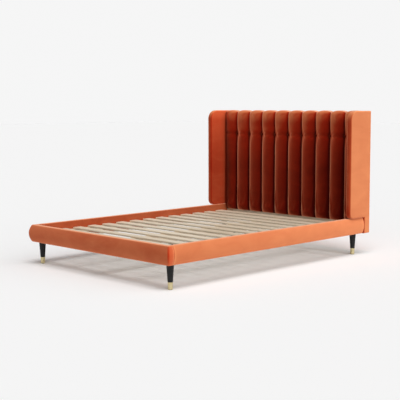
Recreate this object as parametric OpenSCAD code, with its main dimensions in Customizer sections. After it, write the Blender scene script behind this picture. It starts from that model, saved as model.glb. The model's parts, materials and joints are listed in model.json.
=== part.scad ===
// Upholstered bed frame with a winged headboard, sewn channels and one row of buttons.
// X runs across the bed, Y from the foot to the head and Z up. The origin is on the floor,
// under the middle of the whole frame.

/* [Mattress] */
// Width of the mattress that the frame is made for
mattress_w = 1350; // [900:10:1800]
// Length of that mattress
mattress_l = 1900; // [1800:10:2100]
// Gap between the mattress and each side rail
side_gap = 26; // [15:1:40]
// Gap between the mattress and the foot rail
foot_gap = 21; // [10:1:40]
// Gap between the mattress and the fullest part of the headboard pad
head_gap = 23; // [5:1:40]
// Depth of the mattress's seat below the top of the rails
recess = 48; // [40:1:56]

/* [Rails] */
// Height of the rails, cover included
rail_h = 125; // [115:1:160]
// Thickness of a rail at its top and bottom edges
rail_t = 36; // [32:1:50]
// How far a rail's rounded outer face stands out at its middle
rail_bulge = 19; // [8:1:24]
// Thickness of the timber board inside a rail
rail_core_t = 22; // [18:1:26]
// Thickness of the cover over the board's top and bottom edges
rail_lip = 5; // [3:1:8]
// Thickness of the cover on the board's inner face
rail_wrap = 2; // [1:0.5:4]

/* [Legs] */
// Height of the rails above the floor
leg_h = 162; // [140:1:220]
// Diameter of a leg at its top
leg_top_d = 50; // [40:1:60]
// Diameter of a leg where it enters its ferrule
leg_low_d = 34; // [32:0.5:38]
// Height of the brass ferrule
ferrule_h = 46; // [25:1:60]
// Diameter of the ferrule at the floor
ferrule_foot_d = 31; // [30:0.2:32]
// Wall of the ferrule at its foot
ferrule_wall = 1.2; // [0.8:0.1:1.6]
// Thickness of the felt glide under the ferrule
glide_h = 2; // [1:0.5:4]
// Distance from a leg's axis to the rail's outer top edge at the side
leg_side_inset = 50; // [46:1:60]
// Distance from a foot leg's axis to the foot rail's outer top edge
leg_foot_inset = 60; // [54:1:80]
// Distance from a head leg's axis to the headboard's front board
leg_head_inset = 55; // [45:1:60]

/* [Headboard] */
// Height of the headboard above the floor
hb_h = 1102; // [950:1:1300]
// Thickness of a wing, cover included
wing_t = 42; // [36:1:50]
// Depth of a wing from its front edge to the back of the headboard
wing_d = 257; // [180:1:300]
// Thickness of the board inside a wing
wing_core_t = 18; // [15:1:22]
// Radius of a wing's top front corner
wing_top_r = 75; // [40:1:90]
// Radius of a wing's lower front corner
wing_low_r = 45; // [30:1:60]
// Radius of the soft edges round a wing
wing_edge_r = 9; // [6:1:16]
// Thickness of the ply board behind the pad
board_t = 12; // [9:1:18]
// Section of the stiles and cross rails inside the headboard
batten = 46; // [38:1:50]
// Thickness of the ply back panel
back_t = 9; // [6:1:12]
// Thickness of the covered back
cover_t = 4; // [2:1:6]

/* [Channel pad] */
// Number of sewn channels
channels = 10; // [6:1:14]
// Thickness of the pad at the crown of a channel
pad_crown = 50; // [40:1:65]
// Thickness of the pad at a sewn seam
pad_seam = 17; // [14:1:24]
// Distance from the row of buttons up to the top of the headboard
button_drop = 199; // [150:1:260]
// Diameter of a button
button_d = 22; // [18:1:26]
// Thickness of the pad under a button
button_seat = 9; // [6:1:12]

/* [Slats and centre rail] */
// Number of slats
slat_count = 14; // [10:1:18]
// Width of a slat
slat_w = 70; // [50:1:80]
// Thickness of a slat
slat_t = 12; // [10:1:18]
// Width of the webbing tapes that hold the slats apart
tape_w = 38; // [25:1:60]
// Play between a slat's end and the rail
slat_play = 3; // [1:1:6]
// Width of the ledger that carries the slats
ledger_w = 25; // [20:1:35]
// Height of that ledger
ledger_h = 30; // [25:1:40]
// Width of the centre rail
centre_w = 44; // [40:1:60]
// Height of the centre rail
centre_h = 58; // [50:1:62]
// Diameter of a centre leg
centre_leg_d = 38; // [32:1:42]
// Gap between a centre leg and the hex of its levelling foot
level_gap = 10; // [9:1:14]

/* [Hidden] */

velvet = "#cf6638";
timber = "#d9b98a";
ply = "#e0c79c";
black_wood = "#26221f";
brass = "#c9a95a";
steel = "#8d9196";
zinc = "#b9bcc0";
nylon = "#2b2b2b";
felt = "#4a4742";
webbing = "#e8e4da";

// Clearances
thread_play = 0.1;
hole_play = 0.3;
pad_play = 2;
travel_up = 8;

// Places along X, Y and Z
x_in = mattress_w / 2 + side_gap;
x_edge = x_in + rail_t;
x_out = x_edge + rail_bulge;
hb_depth = board_t + batten + back_t + cover_t;
overall_l = rail_bulge + rail_t + foot_gap + mattress_l + head_gap + pad_crown + hb_depth;
y_back = overall_l / 2;
y_edge = rail_bulge - overall_l / 2;
y_in = y_edge + rail_t;
y_hb = y_back - hb_depth;
rail_top = leg_h + rail_h;
slat_top = rail_top - recess;
seat_z = slat_top - slat_t;
arc_r = (pow(rail_h / 2, 2) + pow(rail_bulge, 2)) / (2 * rail_bulge);
rail_skin = rail_t - rail_wrap - rail_core_t;

// Corner blocks and legs
block_w = 70;
block_l = 80;
leg_x = x_edge - leg_side_inset;
leg_y_foot = y_edge + leg_foot_inset;
leg_y_head = y_hb - leg_head_inset;
ferrule_top = glide_h + ferrule_h;
ferrule_top_d = leg_low_d - 0.6;
spigot_d = ferrule_foot_d - 2 * ferrule_wall;

// Fasteners: M8 bolts and tee nuts, wood screws
bolt_r = 4;
bolt_head_r = 8;
bolt_head_h = 5;
bolt_short = 2;
nut_r = 5.5;
nut_flange_r = 11;
nut_flange_t = 1.5;
nut_l = 10;
hanger_bolt_l = 100;
hanger_bolt_drop = 5;
screw_r = 2.2;
screw_head_r = 4.4;
screw_head_h = 3;
screw_tip = 4;
screw_short = 5;
block_bolt_inset = 50;
block_bolt_low = 18;
block_bolt_high = 44;
bolt_zs = [leg_h + block_bolt_low, leg_h + block_bolt_high];
block_screw_z = (bolt_zs[0] + bolt_zs[1]) / 2;
block_screw_near = 44;
block_screw_far = 68;
rail_board_out = rail_wrap + rail_core_t;
corner_bolt_l = block_l + min(rail_board_out, board_t + batten) - bolt_short;

// Wings
x_wing = x_out - wing_t;
y_wing = y_back - wing_d;
wing_rise = 12;
hb_top = hb_h - wing_rise;
button_z = hb_h - button_drop;
wing_skin = (wing_t - wing_core_t) / 2;
wing_bolt_l = batten + wing_skin + wing_core_t - bolt_short;
wing_bolt_y = y_hb + board_t + batten / 2;
middle_z = (rail_top + hb_top) / 2;
wing_bolt_low = 60;
wing_bolt_off = 30;
wing_bolt_high = 90;
wing_bolt_zs = [rail_top + wing_bolt_low, middle_z - batten / 2 - wing_bolt_off, hb_top - wing_bolt_high];
wing_arc_steps = 9;
wing_edge_steps = 3;

// Centre rail, its legs and levelling feet
hanger_t = 3;
cheek_l = 45;
flange_w = 24;
centre_bottom = seat_z - centre_h;
centre_leg_ys = [y_in + (y_hb - y_in) / 3, y_in + 2 * (y_hb - y_in) / 3];
level_plate_h = 6;
level_hex_h = 8;
level_hex_r = 12;
level_plate_r = 20;
stud_r = 5;
stud_top = 70;
insert_r = 7;
insert_h = 15;
leg_low = level_plate_h + level_hex_h + level_gap;
stud_spare = 4;

// A rail's section: x from the inner face outwards, y up
module rail_section() {
    square([rail_t, rail_h]);
    intersection() {
        translate([x_out - x_in - arc_r, rail_h / 2]) circle(r = arc_r, $fn = 180);
        translate([rail_t, 0]) square([rail_bulge + 1, rail_h]);
    }
}

// The timber board inside that section
module rail_core_section() {
    translate([rail_wrap, rail_lip]) square([rail_core_t, rail_h - 2 * rail_lip]);
}

module along_y(y0, y1) {
    translate([0, y1, 0]) rotate([90, 0, 0]) linear_extrude(y1 - y0) children();
}

module box_between(x0, x1, y0, y1, z0, z1) {
    translate([x0, y0, z0]) cube([x1 - x0, y1 - y0, z1 - z0]);
}

module on_side(side) {
    if (side < 0) mirror([1, 0, 0]) children();
    else children();
}

module at_end(end) {
    if (end < 0) children();
    else translate([0, y_in + y_hb, 0]) mirror([0, 1, 0]) children();
}

// Fasteners stand with the top or the underside of their head on z = 0 and point down
module turned(points) {
    rotate_extrude($fn = 60) polygon(points);
}

module bolt(l) {
    turned([[0, -l], [bolt_r, -l], [bolt_r, 0],
            [bolt_head_r, 0], [bolt_head_r, bolt_head_h], [0, bolt_head_h]]);
}

module bolt_hole(l) {
    translate([0, 0, -l]) cylinder(r = bolt_r + hole_play, h = l + 1, $fn = 60);
}

module wood_screw(l) {
    turned([[0, -l], [screw_r, screw_tip - l], [screw_r, -screw_head_h], [screw_head_r, 0], [0, 0]]);
}

module screw_hole(l) {
    shank_r = screw_r + thread_play;
    head_r = screw_head_r + thread_play;
    turned([[0, -l - 1], [shank_r, -l - 1], [shank_r, -screw_head_h], [head_r, 0], [head_r, 1], [0, 1]]);
}

module tee_nut() {
    low = -nut_flange_t - nut_l;
    bore_r = bolt_r + thread_play;
    turned([[bore_r, low], [nut_r, low], [nut_r, -nut_flange_t], [nut_flange_r, -nut_flange_t],
        [nut_flange_r, 0], [bore_r, 0]]);
}

module tee_nut_hole() {
    low = -nut_flange_t - nut_l - hole_play;
    barrel_r = nut_r + thread_play;
    flange_r = nut_flange_r + thread_play;
    turned([[0, low], [barrel_r, low], [barrel_r, -nut_flange_t],
            [flange_r, -nut_flange_t], [flange_r, 1], [0, 1]]);
}

// The two bolts that hold a corner block to the foot rail or the headboard
module at_corner_bolts(side, end) {
    on_side(side) at_end(end) for (z = bolt_zs)
        translate([x_in - block_bolt_inset, y_in + block_l, z]) rotate([-90, 0, 0]) children();
}

module corner_bolt_holes(side, end) {
    at_corner_bolts(side, end) bolt_hole(corner_bolt_l + bolt_short);
}

// The tee nuts of those bolts: in the foot rail's board, or in the headboard's front board
module at_corner_nuts(side, end) {
    at_corner_bolts(side, end)
        translate([0, 0, -block_l - (end < 0 ? rail_board_out : board_t)]) mirror([0, 0, 1]) children();
}

// The two screws that hold a corner block to its side rail
module at_block_screws(side, end) {
    on_side(side) at_end(end) for (y = [block_screw_near, block_screw_far])
        translate([x_in - block_w, y_in + y, block_screw_z]) rotate([0, -90, 0]) children();
}

module leg_at(side, end) {
    translate([side * leg_x, end < 0 ? leg_y_foot : leg_y_head, 0]) children();
}

module at_legs() {
    for (side = [-1, 1], end = [-1, 1]) leg_at(side, end) children();
}

module at_centre_legs() {
    for (y = centre_leg_ys) translate([0, y, 0]) children();
}

// The foot rail: rounded outwards in front and at both ends
module foot_rail_outer() {
    intersection() {
        translate([-x_out, y_in, leg_h]) rotate([90, 0, 90])
            linear_extrude(2 * x_out) mirror([1, 0, 0]) rail_section();
        along_y(y_edge - rail_bulge, y_in + 1) translate([0, leg_h]) {
            translate([x_in, 0]) rail_section();
            mirror([1, 0]) translate([x_in, 0]) rail_section();
            translate([-x_in - 1, 0]) square([2 * x_in + 2, rail_h]);
        }
    }
}

module foot_rail_board(reach = 0) {
    x_end = x_edge - rail_skin;
    box_between(-x_end, x_end, y_edge + rail_skin, y_in - rail_wrap + reach,
            leg_h + rail_lip, rail_top - rail_lip);
}

module foot_rail_fixings() {
    for (side = [-1, 1]) {
        corner_bolt_holes(side, -1);
        at_corner_nuts(side, -1) tee_nut_hole();
    }
    at_hanger_screws(-1) screw_hole(hanger_screw_l);
}

module foot_rail_core() {
    color(timber) difference() {
        foot_rail_board();
        foot_rail_fixings();
    }
}

module foot_rail_pad() {
    color(velvet) difference() {
        foot_rail_outer();
        foot_rail_board();
        foot_rail_fixings();
    }
}

module side_rail_fixings() {
    at_ledger_screws() screw_hole(ledger_screw_l);
    for (end = [-1, 1]) at_block_screws(1, end) screw_hole(block_screw_l);
}

module side_rail_core(side) {
    color(timber) on_side(side) difference() {
        along_y(y_in, y_hb) translate([x_in, leg_h]) rail_core_section();
        side_rail_fixings();
    }
}

module side_rail_pad(side) {
    color(velvet) on_side(side) difference() {
        along_y(y_in, y_hb) translate([x_in, leg_h]) difference() {
            rail_section();
            rail_core_section();
        }
        side_rail_fixings();
    }
}

module corner_block(side, end) {
    color(timber) difference() {
        on_side(side) at_end(end)
            box_between(x_in - block_w, x_in, y_in, y_in + block_l, leg_h, seat_z);
        corner_bolt_holes(side, end);
        at_block_screws(side, end) screw_hole(block_screw_l);
        leg_at(side, end) translate([0, 0, seat_z]) tee_nut_hole();
        leg_at(side, end) translate([0, 0, seat_z]) bolt_hole(seat_z - leg_h + 1);
    }
}

// A leg's taper, with a spigot below it for the ferrule and a hole above for its bolt
module leg() {
    color(black_wood) difference() {
        turned([[0, glide_h + ferrule_wall], [spigot_d / 2, glide_h + ferrule_wall],
                [spigot_d / 2, ferrule_top],
            [leg_low_d / 2, ferrule_top], [leg_top_d / 2, leg_h], [0, leg_h]]);
        hanger_bolt_hole();
    }
}

module hanger_bolt_hole() {
    translate([0, 0, seat_z - hanger_bolt_drop - hanger_bolt_l - hole_play])
        cylinder(r = bolt_r + thread_play, h = hanger_bolt_l, $fn = 60);
}

module ferrule() {
    color(brass) translate([0, 0, glide_h]) difference() {
        cylinder(d1 = ferrule_foot_d, d2 = ferrule_top_d, h = ferrule_h, $fn = 96);
        translate([0, 0, ferrule_wall]) cylinder(d = spigot_d + 2 * thread_play, h = ferrule_h, $fn = 96);
    }
}

module glide() {
    color(felt) cylinder(d = ferrule_foot_d - 4, h = glide_h, $fn = 72);
}

// Slats and what carries them
ledger_y0 = y_in + block_l;
ledger_y1 = y_hb - block_l;
ledger_screws_each = 6;
ledger_screw_inset = 60;
ledger_screw_l = ledger_w + rail_core_t - screw_short;
block_screw_l = block_w + rail_core_t - screw_short;
slat_end_gap = 10;
slat_pitch = (mattress_l - slat_w - 2 * slat_end_gap) / (slat_count - 1);
slat_y0 = y_in + foot_gap + slat_end_gap;
tape_t = 1;
tape_x = (centre_w / 2 + x_in - ledger_w) / 2;

module at_ledger_screws() {
    run = ledger_y1 - ledger_y0 - 2 * ledger_screw_inset;
    for (i = [0 : ledger_screws_each - 1])
        translate([x_in - ledger_w, ledger_y0 + ledger_screw_inset + i * run / (ledger_screws_each - 1),
            seat_z - ledger_h / 2]) rotate([0, -90, 0]) children();
}

module slat_ledger(side) {
    color(timber) on_side(side) difference() {
        box_between(x_in - ledger_w, x_in, ledger_y0, ledger_y1, seat_z - ledger_h, seat_z);
        at_ledger_screws() screw_hole(ledger_screw_l);
    }
}

module slats() {
    color(ply) for (i = [0 : slat_count - 1])
        translate([slat_play - x_in, slat_y0 + i * slat_pitch, seat_z])
            cube([2 * (x_in - slat_play), slat_w, slat_t]);
}

module slat_tape(side) {
    color(webbing) translate([side * tape_x - tape_w / 2, slat_y0, seat_z - tape_t])
        cube([tape_w, (slat_count - 1) * slat_pitch + slat_w, tape_t]);
}

// Centre rail on two steel hangers, with two legs
hanger_screw_l = 20;
hanger_screw_inset = 12;
module at_hanger_screws(end) {
    at_end(end) for (sx = [-1, 1], dz = [hanger_screw_inset, centre_h - hanger_screw_inset])
        translate([sx * (centre_w / 2 + hanger_t + flange_w / 2), y_in + hanger_t, centre_bottom + dz])
            rotate([90, 0, 0]) mirror([0, 0, 1]) children();
}

module centre_rail() {
    color(timber) difference() {
        box_between(-centre_w / 2, centre_w / 2, y_in + hanger_t, y_hb - hanger_t, centre_bottom, seat_z);
        at_centre_legs() translate([0, 0, seat_z]) tee_nut_hole();
        at_centre_legs() translate([0, 0, seat_z]) bolt_hole(centre_h + 1);
    }
}

// A folded plate: a floor under the rail, a cheek on each side and flanges screwed to the frame
module centre_rail_hanger(end) {
    cheek_x = centre_w / 2 + thread_play;
    plate_x = centre_w / 2 + hanger_t + flange_w;
    low = centre_bottom - hanger_t;
    color(steel) difference() {
        at_end(end) {
            box_between(-plate_x, plate_x, y_in, y_in + hanger_t, low, low + centre_h);
            box_between(-cheek_x - hanger_t, cheek_x + hanger_t, y_in, y_in + cheek_l, low, centre_bottom);
            for (sx = [-1, 1]) translate([sx * (cheek_x + hanger_t / 2), 0, 0])
                box_between(-hanger_t / 2, hanger_t / 2, y_in, y_in + cheek_l, low, low + centre_h);
        }
        at_hanger_screws(end) screw_hole(hanger_screw_l);
    }
}

module centre_leg(i) {
    color(nylon) translate([0, centre_leg_ys[i], 0]) difference() {
        translate([0, 0, leg_low]) cylinder(d = centre_leg_d, h = centre_bottom - leg_low, $fn = 72);
        translate([0, 0, leg_low - 1]) cylinder(r = insert_r + thread_play, h = insert_h + 1, $fn = 60);
        translate([0, 0, leg_low])
            cylinder(r = stud_r + hole_play, h = stud_top + travel_up + stud_spare - leg_low, $fn = 60);
        hanger_bolt_hole();
    }
}

module centre_leg_inserts() {
    color(brass) at_centre_legs() translate([0, 0, leg_low]) difference() {
        cylinder(r = insert_r, h = insert_h, $fn = 60);
        translate([0, 0, -1]) cylinder(r = stud_r + thread_play, h = insert_h + 2, $fn = 60);
    }
}

module level_stud(i) {
    color(zinc) translate([0, centre_leg_ys[i], level_plate_h / 2])
        cylinder(r = stud_r, h = stud_top - level_plate_h / 2, $fn = 60);
}

module level_foot(i) {
    color(nylon) translate([0, centre_leg_ys[i], 0]) difference() {
        union() {
            cylinder(r = level_plate_r, h = level_plate_h, $fn = 72);
            translate([0, 0, level_plate_h - 0.5])
                cylinder(r = level_hex_r, h = level_hex_h + 0.5, $fn = 6);
        }
        translate([0, 0, level_plate_h / 2]) cylinder(r = stud_r, h = stud_top, $fn = 60);
    }
}

// Headboard frame
module headboard_front_board() {
    color(ply) difference() {
        box_between(-x_wing, x_wing, y_hb, y_hb + board_t, leg_h, hb_top);
        for (side = [-1, 1]) {
            corner_bolt_holes(side, 1);
            at_corner_nuts(side, 1) tee_nut_hole();
        }
        at_hanger_screws(1) screw_hole(hanger_screw_l);
    }
}

module at_wing_bolts() {
    for (z = wing_bolt_zs) translate([x_wing - batten, wing_bolt_y, z]) rotate([0, -90, 0]) children();
}

module wing_bolt_holes() {
    at_wing_bolts() bolt_hole(wing_bolt_l + bolt_short);
}

module headboard_stile(side) {
    color(timber) on_side(side) difference() {
        box_between(x_wing - batten, x_wing, y_hb + board_t, y_hb + board_t + batten, leg_h, hb_top);
        wing_bolt_holes();
    }
}

module headboard_cross_rail(z0, z1) {
    box_between(batten - x_wing, x_wing - batten, y_hb + board_t, y_hb + board_t + batten, z0, z1);
}

module headboard_bottom_rail() {
    color(timber) difference() {
        headboard_cross_rail(leg_h, rail_top);
        for (side = [-1, 1]) corner_bolt_holes(side, 1);
        at_hanger_screws(1) screw_hole(hanger_screw_l);
    }
}

module headboard_back_panel() {
    color(ply) box_between(-x_wing, x_wing, y_back - cover_t - back_t, y_back - cover_t, leg_h, hb_top);
}

module headboard_back_cover() {
    color(velvet) box_between(-x_wing, x_wing, y_back - cover_t, y_back, leg_h, hb_top);
}

// A wing's outline as seen from the side, drawn in by an inset: y and z of each point
function arc(y, z, r, from) = [for (i = [0 : wing_arc_steps])
    let(a = from + 90 * i / wing_arc_steps) [y + r * cos(a), z + r * sin(a)]];
function wing_outline(inset) = concat(
    [[y_back - inset, leg_h + inset], [y_back - inset, rail_top + inset], [y_back - inset, hb_h - inset]],
    arc(y_wing + wing_top_r, hb_h - wing_top_r, wing_top_r - inset, 90),
    arc(y_wing + wing_low_r, rail_top + wing_low_r, wing_low_r - inset, 180),
    [[y_hb + inset, rail_top + inset], [y_hb + inset, leg_h + inset]]);

// Rings of that outline from the inner face to the outer one, drawn in round both edges
function edge_ring(i) = let(a = 90 * i / wing_edge_steps)
    [wing_edge_r * (1 - cos(a)), wing_edge_r * (1 - sin(a))];
wing_rings = concat(
    [for (i = [0 : wing_edge_steps]) let(e = edge_ring(i)) [x_wing + e[0], e[1]]],
    [for (i = [wing_edge_steps : -1 : 0]) let(e = edge_ring(i)) [x_out - e[0], e[1]]]);

module wing_body() {
    points = [for (ring = wing_rings, p = wing_outline(ring[1])) [ring[0], p[0], p[1]]];
    n = len(wing_outline(0));
    m = len(wing_rings);
    sides = [for (i = [0 : m - 2], j = [0 : n - 1]) let(k = (j + 1) % n)
        [i * n + j, (i + 1) * n + j, (i + 1) * n + k, i * n + k]];
    last = (m - 1) * n;
    inner_faces = concat([for (j = [3 : n - 3]) [2, j, j + 1]],
        [[2, n - 2, 1], [0, 1, n - 2], [0, n - 2, n - 1]]);
    outer_faces = [for (f = inner_faces) [last + f[2], last + f[1], last + f[0]]];
    polyhedron(points, concat(sides, inner_faces, outer_faces), convexity = 4);
}

module wing_board() {
    translate([x_wing + wing_skin, 0, 0]) rotate([90, 0, 90])
        linear_extrude(wing_core_t) polygon(wing_outline(wing_skin));
}

module at_wing_nuts() {
    for (z = wing_bolt_zs)
        translate([x_out - wing_skin, wing_bolt_y, z]) rotate([0, 90, 0]) children();
}

module wing_core(side) {
    color(ply) on_side(side) difference() {
        wing_board();
        wing_bolt_holes();
        at_wing_nuts() tee_nut_hole();
    }
}

module wing_pad(side) {
    color(velvet) on_side(side) difference() {
        wing_body();
        wing_board();
        wing_bolt_holes();
    }
}

// Channel pad: a skin over the front board that rolls back over the headboard's top.
// Each point is its path point plus the pad's thickness along the path's normal.
pad_w = 2 * (x_wing - pad_play);
channel_w = pad_w / channels;
pad_low_gap = 6;
pad_low = slat_top + pad_low_gap;
pad_cap = 8;
pad_end_y = y_back;
across = [-1, -0.86, -0.5, 0, 0.5, 0.86];
tuft_w = 34;
tuft_h = 46;
cap_puff = 7;
pad_roll_h = 40;
pad_top_row = hb_top - pad_roll_h;
pad_low_roll = 40;
crease_depth = 5;
crease_h = 14;

// Fullness of a channel, from 0 at its seams to 1 at its crown
function crown(u) = pow(1 - pow(abs(u), 2.2), 0.62);
// Below the top of the side rails the end channels narrow to fit between the rails
pad_step_z = rail_top + pad_play;
pad_step_h = 1;
end_seam_x = pad_w / 2 - channel_w;
function narrowed(x, z) = z > pad_step_z || abs(x) < end_seam_x ? x :
    sign(x) * (end_seam_x + (abs(x) - end_seam_x) * (x_in - pad_play - end_seam_x) / channel_w);
// Heights of the rows of points up the front of the pad
tuft_rows = [-2, -1, -0.4, 0, 0.4, 1, 2];
tuft_reach = 2 * tuft_h;
plain_row_count = 2;
plain_step = (button_z - tuft_reach - pad_low - pad_low_roll) / (plain_row_count + 1);
pad_rows = concat(
    [pad_low, pad_low + pad_low_roll / 3, pad_step_z, pad_step_z + pad_step_h],
    [for (k = [1 : plain_row_count]) pad_low + pad_low_roll + k * plain_step],
    [for (t = tuft_rows) button_z + t * tuft_h],
    [pad_top_row]);
// Points on the roll over the top, as angles from the front to the top
pad_roll = [20, 45, 70, 90];

function pull(x, z) = max([for (i = [1 : channels - 1])
    exp(-pow((x + pad_w / 2 - i * channel_w) / tuft_w, 2) - pow((z - button_z) / tuft_h, 2))]);
function crease(z) = crease_depth * exp(-pow((z - button_z) / crease_h, 2));
// How full the pad is near its lower edge, from a fraction there to 1
function low_edge(z) = z < pad_low + pad_low_roll ?
    sqrt(1 - 0.75 * pow((pad_low + pad_low_roll - z) / pad_low_roll, 2)) : 1;
function pad_depth(x, z, u) =
    let(full = pad_seam + (pad_crown - pad_seam - crease(z)) * crown(u),
        tucked = full - (full - button_seat) * pull(x, z))
    tucked * low_edge(z);

function front_point(x, z, u) = [narrowed(x, z), y_hb - pad_depth(x, z, u), z];
function cap_height(u) = pad_cap - cap_puff * (1 - crown(u));
// Over the top edge a point turns from the front's depth to the cap's height
function roll_point(x, a, u) =
    let(depth = pad_depth(x, pad_top_row, u))
    [x, y_hb - depth * cos(a), pad_top_row + (hb_top - pad_top_row + cap_height(u)) * sin(a)];

pad_xs = [for (c = [0 : channels - 1], u = across) [-pad_w / 2 + channel_w * (c + (u + 1) / 2), u]];
pad_columns = concat(pad_xs, [[pad_w / 2, 1]]);
function pad_line(x, u) = concat(
    [for (z = pad_rows) front_point(x, z, u)],
    [for (a = pad_roll) roll_point(x, a, u)],
    [[x, pad_end_y, hb_top + cap_height(u)]]);

// A face seen from its other side, with the same first point
function turned_over(face) = concat([face[0]], [for (k = [len(face) - 1 : -1 : 1]) face[k]]);

module channel_pad_body() {
    lines = [for (p = pad_columns) pad_line(p[0], p[1])];
    n = len(lines[0]);
    m = len(lines);
    skin_points = [for (l = lines, p = l) p];
    // The left half's quads are split along the mirrored diagonal
    skin_faces = [for (i = [0 : m - 2], j = [0 : n - 2], k = [0, 1])
        let(a = i * n + j, b = a + n, mirrored = i < (m - 1) / 2)
        k == 0 ? [a, a + 1, mirrored ? b : b + 1] : [mirrored ? a + 1 : a, b + 1, b]];
    // Points behind the skin: one row under the seams, the corners of the two steps, one row above the back
    per = len(across);
    seam_xs = [for (k = [0 : channels]) k * channel_w - pad_w / 2];
    corners = [[x_in - pad_play, pad_step_z], [pad_w / 2, pad_step_z + pad_step_h], [pad_w / 2, hb_top]];
    behind = concat(
        [for (x = seam_xs) [narrowed(x, pad_low), y_hb, pad_low]],
        [for (c = corners, side = [-1, 1]) [side * c[0], y_hb, c[1]]],
        [for (x = seam_xs) [x, pad_end_y, hb_top]]);
    low = m * n;
    step_in = low + channels + 1;
    step_out = step_in + 2;
    top_in = step_in + 4;
    top = step_in + 6;
    bottom = [for (k = [0 : channels - 1])
        concat([low + k], [for (i = [k * per : (k + 1) * per]) i * n], [low + k + 1])];
    back = [for (k = [0 : channels - 1])
        concat([top + k + 1], [for (i = [(k + 1) * per : -1 : k * per]) i * n + n - 1], [top + k])];
    // Each end has a face below the step, the step itself, a face above it and one under the roll
    r = search(pad_step_z, pad_rows)[0];
    ends = [for (e = [0, 1])
        let(c = e * (m - 1) * n, f = [
            concat([low + e * channels, step_in + e], [for (j = [r : -1 : 0]) c + j]),
            [step_in + e, step_out + e, c + r + 1, c + r],
            concat([top_in + e], [for (j = [n - 2 : -1 : r + 1]) c + j], [step_out + e]),
            [top + e * channels, c + n - 1, c + n - 2, top_in + e]])
        each (e == 0 ? f : [for (face = f) turned_over(face)])];
    inner = [
        concat([step_in], [for (k = [0 : channels]) low + k], [step_in + 1]),
        [step_out, step_in, step_in + 1, step_out + 1],
        [top_in, step_out, step_out + 1, top_in + 1],
        concat([top_in, top_in + 1], [for (k = [channels : -1 : 0]) top + k])];
    faces = concat(skin_faces, bottom, back, ends, inner);
    polyhedron(concat(skin_points, behind), faces, convexity = 12);
}

module at_buttons() {
    for (i = [1 : channels - 1])
        translate([-pad_w / 2 + i * channel_w, y_hb - button_seat, button_z]) rotate([90, 0, 0]) children();
}

module channel_pad() {
    color(velvet) difference() {
        channel_pad_body();
        at_buttons() cylinder(d = button_d + 2 * hole_play, h = pad_crown, $fn = 24);
    }
}

// A covered button: a straight rim and a low dome
button_rim_h = 3;
button_dome_r = 22;
module tuft_button() {
    r = button_d / 2;
    rise = button_dome_r - sqrt(pow(button_dome_r, 2) - r * r);
    cylinder(d = button_d, h = button_rim_h, $fn = 48);
    intersection() {
        cylinder(d = button_d, h = button_rim_h + rise + 1, $fn = 48);
        translate([0, 0, button_rim_h + rise - button_dome_r]) sphere(r = button_dome_r, $fn = 72);
    }
}

module tuft_buttons() {
    color(velvet) at_buttons() tuft_button();
}

// Fasteners, each kind as one group
module at_all_legs() {
    at_legs() children();
    at_centre_legs() children();
}

module tee_nuts() {
    color(zinc) {
        at_all_legs() translate([0, 0, seat_z]) tee_nut();
        for (side = [-1, 1]) {
            for (end = [-1, 1]) at_corner_nuts(side, end) tee_nut();
            on_side(side) at_wing_nuts() tee_nut();
        }
    }
}

module hanger_bolts() {
    color(zinc) at_all_legs() translate([0, 0, seat_z - hanger_bolt_drop - hanger_bolt_l])
        cylinder(r = bolt_r, h = hanger_bolt_l, $fn = 60);
}

module corner_bolts() {
    color(zinc) for (side = [-1, 1], end = [-1, 1]) at_corner_bolts(side, end) bolt(corner_bolt_l);
}

module wing_bolts() {
    color(zinc) for (side = [-1, 1]) on_side(side) at_wing_bolts() bolt(wing_bolt_l);
}

module block_screws() {
    color(zinc) for (side = [-1, 1], end = [-1, 1]) at_block_screws(side, end) wood_screw(block_screw_l);
}

module ledger_screws() {
    color(zinc) for (side = [-1, 1]) on_side(side) at_ledger_screws() wood_screw(ledger_screw_l);
}

module hanger_screws() {
    color(zinc) for (end = [-1, 1]) at_hanger_screws(end) wood_screw(hanger_screw_l);
}

foot_rail_core();
foot_rail_pad();
side_rail_core(-1);  // side_rail_core_left
side_rail_core(1);  // side_rail_core_right
side_rail_pad(-1);  // side_rail_pad_left
side_rail_pad(1);  // side_rail_pad_right
corner_block(-1, -1);  // corner_block_foot_left
corner_block(1, -1);  // corner_block_foot_right
corner_block(-1, 1);  // corner_block_head_left
corner_block(1, 1);  // corner_block_head_right
leg_at(-1, -1) leg();  // leg_foot_left
leg_at(1, -1) leg();  // leg_foot_right
leg_at(-1, 1) leg();  // leg_head_left
leg_at(1, 1) leg();  // leg_head_right
leg_at(-1, -1) ferrule();  // ferrule_foot_left
leg_at(1, -1) ferrule();  // ferrule_foot_right
leg_at(-1, 1) ferrule();  // ferrule_head_left
leg_at(1, 1) ferrule();  // ferrule_head_right
leg_at(-1, -1) glide();  // glide_foot_left
leg_at(1, -1) glide();  // glide_foot_right
leg_at(-1, 1) glide();  // glide_head_left
leg_at(1, 1) glide();  // glide_head_right
slat_ledger(-1);  // slat_ledger_left
slat_ledger(1);  // slat_ledger_right
slats();
slat_tape(-1);  // slat_tape_left
slat_tape(1);  // slat_tape_right
centre_rail();
centre_rail_hanger(-1);  // centre_rail_hanger_foot
centre_rail_hanger(1);  // centre_rail_hanger_head
centre_leg(0);  // centre_leg_foot
centre_leg(1);  // centre_leg_head
centre_leg_inserts();
level_stud(0);  // level_stud_foot
level_stud(1);  // level_stud_head
level_foot(0);  // level_foot_foot
level_foot(1);  // level_foot_head
headboard_front_board();
headboard_stile(-1);  // headboard_stile_left
headboard_stile(1);  // headboard_stile_right
color(timber) headboard_cross_rail(hb_top - batten, hb_top);  // headboard_top_rail
color(timber) headboard_cross_rail(middle_z - batten / 2, middle_z + batten / 2);  // headboard_middle_rail
headboard_bottom_rail();
headboard_back_panel();
headboard_back_cover();
channel_pad();
tuft_buttons();
wing_core(-1);  // wing_core_left
wing_core(1);  // wing_core_right
wing_pad(-1);  // wing_pad_left
wing_pad(1);  // wing_pad_right
tee_nuts();
hanger_bolts();
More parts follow.
